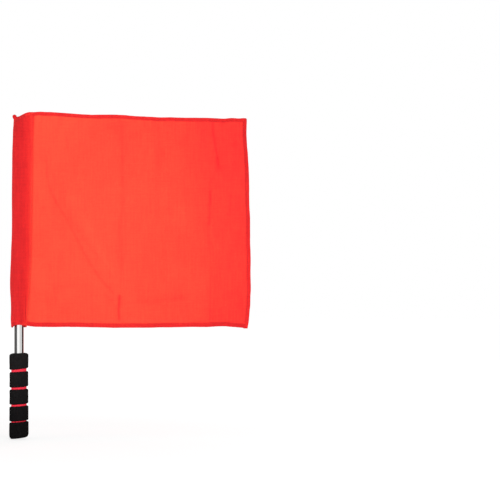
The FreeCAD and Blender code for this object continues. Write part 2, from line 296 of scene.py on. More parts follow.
# Painted shade along the mouth's crease and painted light beside it
mouth_crease_shade = (0.28, mouth_crease_reach, 0.6 * MM)
mouth_crease_light = (0.1, mouth_crease_reach - 1.6 * MM, 0.9 * MM)
# Painted shade inside the back layer at the mouth and at the mouth's left corner
mouth_back_shade = 0.6
mouth_corner_shade = 0.5
mouth_corner_share = -0.7
mouth_shade_height = 2.2 * MM
# Painted shade near the top, away from the seam, and painted light at the top left and along the top
# rim
top_shade = 0.13
top_shade_foot = (60 * MM, 0)
top_shade_head = (0, 9 * MM)
top_shade_reach = (0.65 * seam_reach, 0.65 * seam_reach - 13 * MM)
top_left_light = 0.35
top_left_foot = (30 * MM, 0)
top_left_part = (-0.6, -0.9)
top_rim_light = (0.08, 0, 1.6 * MM)
closure_grain = (0.3, (1.5 * MM, 2 * MM), 62)
closure_shade = 0.08
closure_shade_half_width = 1.4 * MM

# Corner tip: a roll that winds inwards. Its ends are (share across its box, height past the box).
tip_rows = 36
tip_columns = 64
tip_turns = 1.5
tip_start = -math.pi / 3
tip_winding = 0.5
tip_winding_turns = (0.6, 1.5)
tip_layer = 0.17
tip_foot = (1.15, -1 * MM)
tip_head = (0.66, 0.1 * MM)
tip_taper = 0.96
tip_sizes = (0.6, 1.32)
tip_tilt = 0.25
tip_hollow = 1.6 * MM
tip_hollow_part = (0.6, 1)
tip_crumples = (0.12, (1 / 1.5, 1 / 5), 70)
tip_mottle = (0.1, (1 / 3, 1 / 8), 71)
tip_tone = 0.28
# Painted shade on the inner turns of the roll
tip_inside_shade = 0.5
tip_inside_share = 0.85

# Grip: a rim is (size across, size along the pole), and an end (height at the axis, slant, rim)
ring_top_slants = (0.104, 0.07, 0.067, 0.075)
ring_foot_slants = (0.058, 0.042, 0.067, 0.085)
grip_spreads = (1.015, 1.005, 1.005, 1.015, 1.035)
grip_lean = -0.25 * MM
grip_crown = (grip_top + 0.4 * MM, 0.035, (6.5 * MM, 3.5 * MM))
grip_foot = (floor_z + 0.7 * MM, 0.12, (4 * MM, 6 * MM))
foam_edge = (2 * MM, 2 * MM)
inset_edge = (0.5 * MM, 0.5 * MM)
foam_bore = pole_radius + 0.05 * MM
foam_sides = 160
foam_row = 0.55 * MM
least_foam_rows = 8
rim_steps = 9
foam_join_angle = 0.3
foam_lumps = (0.16 * MM, (7 * MM, 6 * MM), 0)
foam_pores = 0.06 * MM
foam_pore_size = (0.8 * MM, 0.8 * MM)
foam_seed = 80
last_foam_seed = 86
inset_seed = 90

# Colours, each at a place of its ramp. The cloth's are by tone, from deep folds in painted shade to
# one layer with painted light through it.
cloth_colours = (
    (0, (0.485, 0.01, 0.012)), (0.22, (0.72, 0.0175, 0.0205)),
    (0.42, (0.865, 0.0223, 0.0242)), (0.52, (0.95, 0.0257, 0.027)),
    (0.6, (1, 0.0323, 0.0295)), (0.72, (1, 0.045, 0.0318)),
    (1, (1, 0.0775, 0.0413)), (1.25, (1, 0.1055, 0.0518)),
)
highest_tone = cloth_colours[-1][0]
thread_colours = ((0.35, (0.8, 0.0257, 0.0266)), (0.65, (0.95, 0.039, 0.036)))
steel_colours = ((0.3, (0.83, 0.83, 0.82)), (0.7, (0.9, 0.9, 0.89)))
plastic_colours = ((0.3, (0.016, 0.016, 0.017)), (0.7, (0.03, 0.03, 0.031)))
black_foam_colours = ((0.28, (0.002, 0.0018, 0.0019)), (0.92, (0.016, 0.0146, 0.015)))
red_foam_colours = ((0.28, (1, 0.032, 0.058)), (0.92, (1, 0.054, 0.094)))

# Textures: grain sizes along X, Y and Z. A bump is (strength, height). The shares are (middle,
# share of the tone) for the cloth's upright slubs, level slubs, mottle and weave.
upright_slubs = (2.2 * MM, 2.2 * MM, 34 * MM)
level_slubs = (26 * MM, 26 * MM, 2.2 * MM)
cloth_mottle = (4 * MM, 4 * MM, 4 * MM)
texture_shares = ((0.5, 0.28), (0.5, 0.22), (0.5, 0.21), (0.25, 0.3))
slub_bump = (0.3, 0.12 * MM)
weave_pitch = 0.42 * MM
weave_bump = (0.7, 0.1 * MM)
see_through_share = 0.12
thread_twist = (0.15 * MM, 0.15 * MM, 0.3 * MM)
thread_bump = (0.4, 0.05 * MM)
thread_roughness = 0.5
steel_lines = (0.25 * MM, 0.25 * MM, 60 * MM)
steel_smears = (6 * MM, 6 * MM, 14 * MM)
steel_roughness = 0.05
steel_bump = (0.08, 0.02 * MM)
foam_cell = 0.7 * MM
foam_cell_share = 0.5
foam_cell_bump = (0.5, 0.12 * MM)
foam_patches = (2.2 * MM, 2.2 * MM, 2.2 * MM)
foam_patch_share = 0.6
foam_patch_bump = (0.4, 0.3 * MM)
# Painted light: the foam grows paler towards the grip's top
painted_top_light_share = 0.2
plastic_grain = (0.4 * MM, 0.4 * MM, 0.4 * MM)
plastic_bump = (0.3, 0.04 * MM)
plastic_roughness = 0.55

# Stage. The floor's own glow to the camera is (growth outwards, at the middle, at most).
floor_grey = (0.86, 0.86, 0.86, 1)
floor_reach = 6
floor_gap = 1 * MM
floor_glow = (0.13, 1.07, 1.27)
floor_glow_share = 0.7

# What the metal sees around it, by share of a full turn: behind, left, in front, right, behind
studio_colours = (
    (0, (0.95, 0.95, 0.95)), (0.045, (0.8, 0.8, 0.8)),
    (0.075, (0.09, 0.086, 0.08)), (0.17, (0.11, 0.105, 0.1)),
    (0.365, (0.11, 0.11, 0.115)), (0.39, (1.15, 1.15, 1.15)),
    (0.53, (1.1, 1.1, 1.1)), (0.575, (0.75, 0.75, 0.74)),
    (0.615, (0.7, 0.7, 0.7)), (0.66, (0.82, 0.83, 0.84)),
    (0.712, (0.86, 0.87, 0.88)), (0.724, (0.03, 0.014, 0.012)),
    (0.845, (0.05, 0.022, 0.02)), (0.87, (0.44, 0.12, 0.11)),
    (0.96, (0.6, 0.33, 0.31)), (1, (0.95, 0.95, 0.95)),
)
white = (1, 1, 1, 1)
fill_level = 0.51

# Lamps: (name, place, size, level of light at the middle of the cloth)
lamps = (
    ("key", (0.9, -2, 1), 1.4, 0.5),
    ("side", (-1.8, -1.4, 0.6), 1.2, 0.24),
    ("back", (0.3, 2.2, 1), 1.4, 0.4),
)
camera_place = (0.3464, -3.5, 0.2189)
view_width = 0.75
sensor_width = 36


# Curves and noise

def smooth(points, places):
    """The value at each place on a smooth curve through (place, value) points."""
    at, value = np.array(points, float).T
    slope = np.gradient(value, at)
    index = np.clip(np.searchsorted(at, places) - 1, 0, len(at) - 2)
    step = at[index + 1] - at[index]
    t = np.clip((places - at[index]) / step, 0, 1)
    start = (2 * t**3 - 3 * t**2 + 1) * value[index] + (t**3 - 2 * t**2 + t) * step * slope[index]
    end = (3 * t**2 - 2 * t**3) * value[index + 1] + (t**3 - t**2) * step * slope[index + 1]
    return start + end


def ease(value):
    """A soft step from 0 to 1."""
    value = np.clip(value, 0, 1)
    return value * value * (3 - 2 * value)


def rise(value, span):
    """A soft step from 0 at the span's first end to 1 at its second."""
    start, end = span
    return ease((value - start) / (end - start))


def fade(distance, reach):
    """1 up to an edge, and less and less past it."""
    return np.exp(-np.clip(distance, 0, None) / reach)


def ridge(distance, half_width):
    """1 on a line, and less and less on both sides of it."""
    return np.exp(-((distance / half_width) ** 2))


def line_at(value, line):
    """A line's depth or change of tone at each value."""
    amount, place, half_width = line
    return amount * ridge(value - place, half_width)


def noise(u, v, size, seed):
    """Smooth random values from -1 to 1, in bumps of about the given size."""
    cells = 64
    table = np.random.default_rng(seed).uniform(-1, 1, (cells, cells))
    u = u / size[0]
    v = v / size[1]
    i = np.floor(u).astype(int)
    j = np.floor(v).astype(int)
    s = ease(u - i)
    t = ease(v - j)
    near, far = [
        table[i % cells, row] * (1 - s) + table[(i + 1) % cells, row] * s
        for row in (j % cells, (j + 1) % cells)
    ]
    return near * (1 - t) + far * t


def bumps(u, v, kind, first_seed=0):
    """Random bumps of one kind."""
    amount, size, seed = kind
    return amount * noise(u, v, size, first_seed + seed)


def walked(points):
    """How far along its line, or its row, each point lies."""
    steps = np.linalg.norm(np.diff(points, axis=-2), axis=-1)
    return np.concatenate([np.zeros_like(steps[..., :1]), np.cumsum(steps, axis=-1)], -1)


# The cloth's edges: heights of three of them at x, and reaches of three of them at z

def height_share(z):
    return (z - mouth_z) / hoist


def top_edge(x):
    return cloth_top - top_edge_drop * smooth(top_shares, x / fly_x)


def bottom_edge(x):
    return mouth_z - bottom_edge_sag * smooth(bottom_shares, x / fly_x)


def closure_edge(x):
    return cloth_top - closure_drop * smooth(closure_shares, x / seam_reach)


def fly_edge(z):
    return fly_x - fly_edge_bow * smooth(fly_shares, height_share(z))


def seam_edge(z):
    return seam_reach * smooth(seam_shares, height_share(z))


def left_edge(z):
    return left_reach * smooth(left_shares, height_share(z))


def from_hems(x, z):
    """How far inside the top, the bottom and the fly hem a place lies."""
    return (
        top_edge(x) - top_hem_width - z,
        z - bottom_edge(x) - bottom_hem_width,
        fly_edge(z) - fly_hem_width - x,
    )


# The panel's surface

def wave_line(lean_shares, x):
    """One level line of the folded cloth: arcs from fold to fold, with the folds softened."""
    places = np.array([seam_reach] + [fly_x * share for share in fold_places])
    leans = np.array([0] + [fold_depth * share for share in lean_shares])
    line_x = np.arange(-overrun, fly_x + overrun, fold_step)
    line = np.interp(line_x, places, leans)
    for start, end, belly in zip(places, places[1:], fold_bellies):
        t = np.clip((line_x - start) / (end - start), 0, 1)
        line += 4 * t * (1 - t) * fold_depth * belly
    spread = 3 * fold_softness
    weights = ridge(np.arange(-spread, spread, fold_step), fold_softness)
    margin = len(weights)
    padded = np.pad(line, margin, "edge")
    line = np.convolve(padded, weights / weights.sum(), "same")[margin:-margin]
    return np.interp(x, line_x, line)


def crease_at(x, z, points, half_width):
    """How near each point is to a crease, from 0 to 1."""
    places, heights = np.array(points).T
    index = np.arange(len(points))
    finer = np.linspace(0, index[-1], crease_steps * index[-1] + 1)
    places = fly_x * smooth(tuple(zip(index, places)), finer)
    heights = mouth_z + hoist * smooth(tuple(zip(index, heights)), finer)
    corners = list(zip(places, heights))
    nearest = np.full(x.shape, np.inf)
    along = np.zeros(x.shape)
    passed = 0
    for (ax, az), (bx, bz) in zip(corners, corners[1:]):
        length = math.hypot(bx - ax, bz - az)
        t = np.clip(((x - ax) * (bx - ax) + (z - az) * (bz - az)) / length**2, 0, 1)
        distance = np.hypot(x - ax - t * (bx - ax), z - az - t * (bz - az))
        closer = distance < nearest
        nearest = np.where(closer, distance, nearest)
        along = np.where(closer, passed + t * length, along)
        passed += length
    ends = rise(along / passed, crease_start) * rise(along / passed, crease_end)
    evenness = crease_evenness + bumps(along, 0 * along, crease_change)
    core = crease_core * ridge(nearest, half_width)
    return (core + (1 - crease_core) * ridge(nearest, 3 * half_width)) * ends * evenness


def cloth_y(x, z):
    """How far the cloth's middle lies behind the plane of the pole's axis."""
    share = (z - mouth_z + overrun) / (hoist + 2 * overrun)
    low_line = wave_line(fold_bottom_leans, x)
    high_line = wave_line(fold_top_leans, x)
    y = low_line * (1 - share) + high_line * share
    for depth, half_width, _, points in creases:
        y = y + depth * MM * crease_at(x, z, points, half_width * MM)
    from_top, from_bottom, from_fly = from_hems(x, z)
    puckers = fade(np.abs(np.minimum(from_top, from_bottom)), hem_pucker_reach)
    waves = bumps(x, z, panel_swells) + bumps(x, z, panel_ripples) + bumps(x, z, hem_puckers) * puckers
    y = y + waves * ease((x - seam_edge(z)) / panel_free_reach)
    return y + bumps(x, z, fly_puckers) * fade(np.abs(from_fly), fly_pucker_reach)


def cloth_tone(x, z):
    """The panel's tone, darker to the right, with painted shade along the creases, on the upper right,
    low down and beside a fold.
    """
    across = x / fly_x
    height = height_share(z)
    # Darker to the right, with painted shade low down and on the upper right
    tone = smooth(panel_tones, across) - lower_shade * rise(height, lower_part)
    tone = tone - upper_right_shade * rise(height, upper_part) * rise(across, right_part)
    tone = tone + bumps(x, z, top_streaks) * fade(from_hems(x, z)[0], top_streak_reach)
    # Painted shade along each crease
    for _, half_width, shade, points in creases:
        tone = tone - shade * crease_at(x, z, points, half_width * MM)
    # Painted shade beside the fold at the right
    corner = rise(across, corner_start) * rise(across, corner_end) * rise(height, corner_height)
    return tone - corner_shade * corner + bumps(x, z, panel_patches) + bumps(x, z, panel_mottle)


def lightened(x, z, tone, light_tone):
    """Turns the sleeve's deep red into the panel's light red across the seam, where painted light
    through a single layer begins.
    """
    edge = seam_reach * smooth(light_edge, height_share(z))
    width = light_edge_width * smooth(light_edge_spreads, height_share(z))
    return tone + (light_tone - tone) * ease((x - edge) / width + 0.5)


# Meshes

def stack(x, y, z):
    return np.stack(np.broadcast_arrays(x, y, z), -1)


def placed(name, data):
    """A mesh, lamp or camera, put in the scene."""
    piece = bpy.data.objects.new(name, data)
    scene.collection.objects.link(piece)
    return piece


def add_values(mesh, name, kind, key, values):
    """Gives a mesh a number or a vector at each of its points."""
    data = mesh.attributes.new(name, kind, "POINT").data
    data.foreach_set(key, values.ravel().astype(np.float32))


def finished(name, points, faces, tone=None, laid=None):
    """A smooth mesh. Cloth has its tone, and where each point lies in the flat cloth."""
    mesh = bpy.data.meshes.new(name)
    mesh.from_pydata(points.tolist(), [], faces)
    mesh.polygons.foreach_set("use_smooth", [True] * len(mesh.polygons))
    if tone is not None:
        add_values(mesh, "tone", "FLOAT", "value", tone)
        add_values(mesh, "laid", "FLOAT_VECTOR", "vector", points if laid is None else laid)
    mesh.update()
    return placed(name, mesh)


def grid_faces(rows, columns, round_rows=False, round_columns=False):
    """The corners of each face between rows and columns of points."""
    r = np.arange(rows if round_rows else rows - 1)[:, None]
    c = np.arange(columns if round_columns else columns - 1)
    after_r = (r + 1) % rows
    after_c = (c + 1) % columns
    corners = ((r, c), (r, after_c), (after_r, after_c), (after_r, c))
    return np.stack([row * columns + column for row, column in corners], -1).reshape(-1, 4)


def grid_mesh(name, points, tone=None, laid=None,
              round_rows=False, round_columns=False, flip=False, capped=False):
    """A surface through rows and columns of points, closed where asked."""
    rows, columns = points.shape[:2]
    faces = grid_faces(rows, columns, round_rows, round_columns)
    faces = (faces[:, ::-1] if flip else faces).tolist()
    if capped:
        first = list(range(columns))
        last = [(rows - 1) * columns + index for index in first]
        faces += [first if flip else first[::-1], last[::-1] if flip else last]
    return finished(name, points.reshape(-1, 3), faces, tone, laid)


def unit(vectors):
    """The same directions with a length of 1."""
    return vectors / np.linalg.norm(vectors, axis=-1, keepdims=True)


def stitches(name, front, back):
    """Short threads that dip into the cloth, in a row on its front and one on its back."""
    centres = np.concatenate([front, back])
    along = unit(np.concatenate([np.gradient(front, axis=0), np.gradient(back, axis=0)]))
    outward = np.repeat([[0.0, -1.0, 0.0], [0.0, 1.0, 0.0]], [len(front), len(back)], axis=0)
    outward = unit(outward - along * (outward * along).sum(1, keepdims=True))
    across = np.cross(along, outward)
    place, height, thickness = np.array(stitch_profile).T[..., None]
    angle = (np.arange(stitch_sides) / stitch_sides * TURN)[:, None]
    middle = centres[:, None] + along[:, None] * place * stitch_length
    middle = middle + outward[:, None] * height * stitch_radius
    ring = outward[:, None] * np.cos(angle) + across[:, None] * np.sin(angle)
    points = middle[:, :, None] + ring[:, None] * thickness[..., None] * stitch_radius
    faces = grid_faces(len(stitch_profile), stitch_sides, round_columns=True)
    first = np.arange(len(centres))[:, None, None] * len(stitch_profile) * stitch_sides
    return finished(name, points.reshape(-1, 3), (first + faces).reshape(-1, 4).tolist())


# Materials

def shader(name):
    """A new material, with its node tree and its main shader."""
    material = bpy.data.materials.new(name)
    material.use_nodes = True
    return material, material.node_tree, material.node_tree.nodes["Principled BSDF"]


def plug(tree, node, values):
    """Sets a node's sockets, or links other nodes' outputs to them."""
    for socket, value in values.items():
        if isinstance(value, bpy.types.NodeSocket):
            tree.links.new(value, node.inputs[socket])
        else:
            node.inputs[socket].default_value = value


def add(tree, kind, values=()):
    """A new node, with its sockets filled."""
    node = tree.nodes.new("ShaderNode" + kind)
    plug(tree, node, dict(values))
    return node


def maths(tree, operation, *values):
    """One operation on numbers or on other nodes' outputs."""
    node = add(tree, "Math")
    node.operation = operation
    plug(tree, node, dict(enumerate(values)))
    return node.outputs[0]


def noise_node(tree, size, detail=3, roughness=0.5):
    """Noise on a piece, with grains of this size along X, Y and Z."""
    place = add(tree, "TexCoord").outputs["Object"]
    scale = [1 / length for length in size]
    vector = add(tree, "Mapping", {"Vector": place, "Scale": scale}).outputs[0]
    values = {"Vector": vector, "Scale": 1.0, "Detail": detail, "Roughness": roughness}
    return add(tree, "TexNoise", values).outputs["Fac"]


def ramp(tree, value, stops):
    """A colour that follows a value, through (place, colour) stops."""
    node = add(tree, "ValToRGB", {"Fac": value})
    elements = node.color_ramp.elements
    while len(elements) < len(stops):
        elements.new(0.5)
    for element, (place, colour) in zip(elements, stops):
        element.position = place
        element.color = (*colour, 1)
    return node.outputs["Color"]


def bump(tree, height, relief, **under):
    """The surface's direction, changed by a texture's height."""
    strength, distance = relief
    values = {"Height": height, "Strength": strength, "Distance": distance, **under}
    return add(tree, "Bump", values).outputs["Normal"]


def mixed(tree, share, first, second):
    """Two shaders, mixed by a share of the second."""
    return add(tree, "MixShader", {"Fac": share, 1: first.outputs[0], 2: second.outputs[0]})


def seen_by(tree, *kinds):
    """1 for these kinds of ray, and 0 for all others."""
    path = add(tree, "LightPath")
    seen = path.outputs[kinds[0]]
    for kind in kinds[1:]:
        seen = maths(tree, "MAXIMUM", seen, path.outputs[kind])
    return seen


def weave_height(tree):
    """A plain weave, from threads across and along the flat cloth."""
    laid = add(tree, "Attribute")
    laid.attribute_name = "laid"
    values = {"Vector": laid.outputs["Vector"], "Scale": TURN / (20 * weave_pitch), "Distortion": 0.0}
    heights = []
    for axis in ("X", "Z"):
        wave = add(tree, "TexWave", values)
        wave.bands_direction = axis
        heights.append(wave.outputs["Fac"])
    return maths(tree, "MULTIPLY", *heights)


def cloth_material():
    """Thin red cloth, light orange red in one layer and deep red in two, by painted light and shade."""
    material, tree, principled = shader("red_woven_cloth")
    tone = add(tree, "Attribute")
    tone.attribute_name = "tone"
    upright = noise_node(tree, upright_slubs, 4, 0.6)
    level = noise_node(tree, level_slubs, 4, 0.6)
    mottle = noise_node(tree, cloth_mottle, 4, 0.6)
    weave = weave_height(tree)
    value = tone.outputs["Fac"]
    for texture, (middle, share) in zip((upright, level, mottle, weave), texture_shares):
        change = maths(tree, "SUBTRACT", texture, middle)
        value = maths(tree, "MULTIPLY_ADD", change, share, value)
    stops = [(place / highest_tone, colour) for place, colour in cloth_colours]
    colour = ramp(tree, maths(tree, "MULTIPLY", value, 1 / highest_tone), stops)
    slubs = maths(tree, "ADD", upright, level)
    normal = bump(tree, slubs, slub_bump, Normal=bump(tree, weave, weave_bump))
    plug(tree, principled, {
        "Base Color": colour, "Normal": normal, "Roughness": 0.75, "Specular IOR Level": 0.15,
        "Sheen Weight": 0.06, "Sheen Roughness": 0.5,
    })
    through = add(tree, "BsdfTranslucent", {"Color": colour, "Normal": normal})
    surface = mixed(tree, see_through_share, principled, through)
    plug(tree, tree.nodes["Material Output"], {"Surface": surface.outputs[0]})
    return material


def grained_material(name, size, detail, colours, relief, roughness):
    """A surface with a fine grain in its colour and relief."""
    material, tree, principled = shader(name)
    grain = noise_node(tree, size, detail)
    colour = ramp(tree, grain, colours)
    normal = bump(tree, grain, relief)
    plug(tree, principled, {"Base Color": colour, "Normal": normal, "Roughness": roughness})
    return material


def steel_material():
    """Polished steel, with faint lines along the tube."""
    material, tree, principled = shader("polished_steel")
    lines = noise_node(tree, steel_lines)
    smears = noise_node(tree, steel_smears)
    rough = maths(tree, "MULTIPLY_ADD", lines, steel_roughness, steel_roughness)
    rough = maths(tree, "MULTIPLY_ADD", smears, steel_roughness, rough)
    colour = ramp(tree, smears, steel_colours)
    normal = bump(tree, lines, steel_bump)
    values = {"Base Color": colour, "Normal": normal, "Roughness": rough, "Metallic": 1.0}
    plug(tree, principled, values)
    return material


def foam_material(name, colours):
    """Foam with a fine open grain, and painted light that makes it a little paler towards the grip's
    top.
    """
    material, tree, principled = shader(name)
    place = add(tree, "TexCoord").outputs["Object"]
    voronoi = add(tree, "TexVoronoi", {"Vector": place, "Scale": 1 / foam_cell})
    cells = voronoi.outputs["Distance"]
    patches = noise_node(tree, foam_patches, roughness=0.6)
    height = add(tree, "SeparateXYZ", {"Vector": place}).outputs["Z"]
    value = maths(tree, "MULTIPLY", patches, foam_patch_share)
    value = maths(tree, "MULTIPLY_ADD", cells, foam_cell_share, value)
    # Painted light, paler towards the grip's top
    value = maths(tree, "MULTIPLY_ADD", height, painted_top_light_share / grip_top, value)
    colour = ramp(tree, value, colours)
    normal = bump(tree, patches, foam_patch_bump, Normal=bump(tree, cells, foam_cell_bump))
    plug(tree, principled, {
        "Base Color": colour, "Normal": normal, "Roughness": 0.85, "Specular IOR Level": 0.06,
    })
    return material


def give(piece, material, slot, body, *nodes):
    """Gives a piece its material and body, and hides the nodes that it stands for. Its slot is not
    used.
    """
    piece.data.materials.clear()
    piece.data.materials.append(material)
    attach(piece, body)
    if nodes:
        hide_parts(*nodes)
    return piece


# Panel and hems

def make_panel():
    """The single layer, from the seam to under the middle of each hem."""
    u, v = np.meshgrid(np.linspace(0, 1, panel_columns), np.linspace(0, 1, panel_rows))
    rough_z = mouth_z + hoist * v
    left = seam_edge(rough_z) - panel_lap
    right = fly_edge(rough_z) - fly_hem_width / 2
    x = left + (right - left) * u
    low = bottom_edge(x) + bottom_hem_width / 2
    high = top_edge(x) - top_hem_width / 2
    z = low + (high - low) * v
    from_hem = np.minimum.reduce(from_hems(x, z))
    from_seam = x - seam_edge(z)
    # Painted shade along the hems' edges, along the seam and in the corners where they meet
    tone = cloth_tone(x, z) - hem_line_shade * fade(from_hem, hem_line_reach)
    tone = lightened(x, z, panel_seam_tone, tone)
    tone = tone - seam_line_shade * fade(from_seam, seam_line_reach)
    corners = fade(from_seam, seam_corner_reach) * fade(from_hem, seam_corner_reach)
    tone = tone - seam_corner_shade * corners
    return grid_mesh("panel_cloth", stack(x, cloth_y(x, z), z), tone)


def hem_strip(name, outer, inward, width, seed, tone, sewn_shade):
    """A turned hem: a flattened roll along an edge, pinched where it is sewn."""
    angle = np.arange(hem_sides) / hem_sides * TURN
    depth = 0.5 - 0.5 * np.cos(angle)
    fullness = np.sign(np.sin(angle)) * np.abs(np.sin(angle)) ** hem_roundness
    run = walked(outer)[:, None]
    edge_wobble = bumps(run, 0 * run, hem_edge_wobble, seed)
    inner_wobble = bumps(run, 0 * run, hem_inner_wobble, seed)
    reach = edge_wobble + (width + inner_wobble - edge_wobble) * depth
    x = outer[:, :1] + inward[0] * reach
    z = outer[:, 1:] + inward[1] * reach
    sewn = ridge(reach - width + stitch_inset, hem_pinch_half_width)
    dimple = 0.5 + 0.5 * np.cos(TURN * run / stitch_pitch)
    puff = 1 - (hem_pinch + hem_dimple * dimple) * sewn
    puff = puff * (1 + bumps(x + z, reach, hem_puffs, seed))
    y = cloth_y(x, z) + fullness * puff * hem_half_thickness
    tone = tone[:, None] + bumps(x + z, reach, hem_streaks, seed) - sewn_shade * sewn
    return grid_mesh(name, stack(x, y, z), tone, round_columns=True, flip=True, capped=True)


def hem_stitches(name, outer, inward, width):
    """Stitches on both faces of a hem, beside its inner edge."""
    run = walked(outer)
    places = np.arange(stitch_pitch / 2, run[-1], stitch_pitch)
    sewn = outer + np.array(inward) * (width - stitch_inset)
    x = np.interp(places, run, sewn[:, 0])
    z = np.interp(places, run, sewn[:, 1])
    line = stack(x, cloth_y(x, z), z)
    lift = np.array([0, stitch_seat * hem_half_thickness, 0])
    return stitches(name, line - lift, line + lift)


def hem_steps(start, end, ends):
    """Places along an edge, from one corner to the other."""
    return np.arange(start - ends[0], end + ends[1], hem_step)


def make_hems():
    """The three hems and their stitches."""
    corner_z = top_edge(fly_x)
    top_x = hem_steps(seam_edge(cloth_top), fly_edge(corner_z), top_hem_ends)
    bottom_x = hem_steps(seam_edge(mouth_z), fly_edge(mouth_z), bottom_hem_ends)
    fly_z = hem_steps(bottom_edge(fly_x), corner_z, fly_hem_ends)
    lines = (
        (top_x, top_edge(top_x), top_x / fly_x),
        (bottom_x, bottom_edge(bottom_x), bottom_x / fly_x),
        (fly_edge(fly_z), fly_z, height_share(fly_z)),
    )
    made = []
    for (name, inward, width, seed, sewn_shade, tones), (x, z, along) in zip(hems, lines):
        outer = np.stack([x, z], 1)
        tone = smooth(tones, along)
        piece = hem_strip(name + "_cloth", outer, inward, width, seed, tone, sewn_shade)
        made.append((name, piece, hem_stitches(name + "_stitches", outer, inward, width)))
    return made


# Sleeve, its gathered top and the folded corner tip. A face is -1 for the front, 1 for the back.

def across_share(x, z):
    """How far across the sleeve a place lies, from -1 at its left side to 1 at the seam."""
    return np.where(x > 0, x / seam_edge(z), x / left_edge(z))


def sleeve_half(x, z):
    """Half the sleeve's depth: round over the pole, flat at the seam and pinched at the top."""
    radius = sleeve_radius + sleeve_flare * smooth(flare_shares, height_share(z))
    to_seam = np.clip(x / (seam_edge(z) - seam_strip), 0, 1)
    right_part = radius - (radius - seam_half_thickness) * to_seam**sleeve_slope
    left_part = radius * np.sqrt(np.clip(1 - (x / left_edge(z)) ** 2, 0, 1))
    half = np.where(x >= 0, right_part, left_part)
    below = closure_edge(x) - z
    pinched = half * np.clip(below / pinch_height, 0, 1)
    lip = lip_half_thickness * np.sqrt(np.clip(below / lip_height, 0, 1))
    return np.maximum(pinched, np.minimum(lip, half + lip * lip_spread))


def sleeve_relief(x, z, face):
    """Wrinkles of the sleeve, outwards from its smooth form."""
    below = closure_edge(x) - z
    gathered = fade(below - gather_start, gather_reach) * rise(below, (0, gather_start))
    relief = gathered * bumps(x + gather_lean * z, z, gathers, face) - line_at(below, closure_groove)
    relief = relief + bumps(x, z, sleeve_folds, face) + bumps(x, z, sleeve_ripples, face)
    band = rise(z - mouth_z, mouth_band)
    relief = relief + band * (mouth_band_depth + bumps(x, z, mouth_crumples, face))
    if face < 0:
        crease = smooth(mouth_crease_shares, height_share(z))
        relief = relief - crease * line_at(x, mouth_crease_groove)
    return np.clip(relief, -deepest_wrinkle, None)


def sleeve_y(x, z, face):
    """Where the sleeve's surface lies on its front or its back."""
    half = sleeve_half(x, z)
    return face * (half + sleeve_relief(x, z, face) * ease(half / sleeve_loose_depth))


def sleeve_points():
    """Rows of points from the seam in front, over the left side, to the seam behind."""
    t = np.linspace(0, 1, sleeve_columns)
    v = np.linspace(0, 1, sleeve_rows)[:, None]
    turn = np.clip((t - right_share) / (1 - right_share), 0, 1) * math.pi / 2
    sides = []
    for face, arch in ((-1, front_arch), (1, back_arch)):
        z = mouth_z + hoist * v
        for _ in range(sleeve_fittings):
            flat = seam_edge(z) * (1 - t / right_share)
            x = np.where(t <= right_share, flat, -left_edge(z) * np.sin(turn))
            low = mouth_z + mouth_arch * smooth(arch, across_share(x, z))
            z = low + (closure_edge(x) - low) * v
        sides.append(stack(x, sleeve_y(x, z, face), z))
    front, back = sides
    return np.concatenate([front, back[:, -2::-1]], 1)


def sleeve_tone(x, z, behind):
    """The sleeve's tone, with its sewing, and painted shade and light at its crease, its mouth and its
    gathered top.
    """
    across = across_share(x, z)
    above = z - mouth_z
    below = closure_edge(x) - z
    # Painted shade over the pole and painted light at the left rim and towards the seam
    tone = smooth(sleeve_tones, across) + bumps(x, z, sleeve_streaks)
    # Painted light and shade of the puckers in the mouth band
    tone = tone + rise(above, mouth_band) * (bumps(x, z, mouth_pucker_light_and_shade) - mouth_band_shade)
    tone = tone - line_at(above, mouth_row_line)
    # Painted shade near the top, away from the seam, and painted light at the top left
    near_top = rise(below, top_shade_foot) * rise(below, top_shade_head)
    tone = tone - top_shade * near_top * rise(x, top_shade_reach)
    tone = tone + top_left_light * rise(below, top_left_foot) * rise(across, top_left_part)
    sewn = ridge(below - closure_row_drop, closure_shade_half_width)
    tone = tone - (closure_shade + bumps(x, z, closure_grain)) * sewn
    # Painted light along the top rim
    tone = tone + line_at(below, top_rim_light)
    # Painted shade along the mouth's crease and painted light beside it
    crease = smooth(mouth_crease_shares, height_share(z))
    tone = tone - crease * (line_at(x, mouth_crease_shade) - line_at(x, mouth_crease_light))
    # Painted shade inside the back layer at the mouth and at the mouth's left corner
    shaded = np.where(across < mouth_corner_share, mouth_corner_shade, 0.0)
    shaded = np.where(behind, mouth_back_shade, shaded)
    tone = tone - shaded * ridge(above, mouth_shade_height)
    return lightened(x, z, tone, sleeve_seam_tone)


def make_sleeve():
    """The sleeve, with its closed top and its real thickness."""
    points = sleeve_points()
    x, y, z = np.moveaxis(points, -1, 0)
    laid = stack(walked(points), 0, z)
    sleeve = grid_mesh("sleeve_cloth", points, sleeve_tone(x, z, y > 0), laid, flip=True)
    thick = sleeve.modifiers.new("thickness", "SOLIDIFY")
    thick.thickness = cloth_thickness
    thick.offset = -1
    return sleeve


def row_on_sleeve(name, x, z):
    """Stitches that follow a line drawn over the sleeve's front and back."""
    return stitches(name, stack(x, sleeve_y(x, z, -1), z), stack(x, sleeve_y(x, z, 1), z))


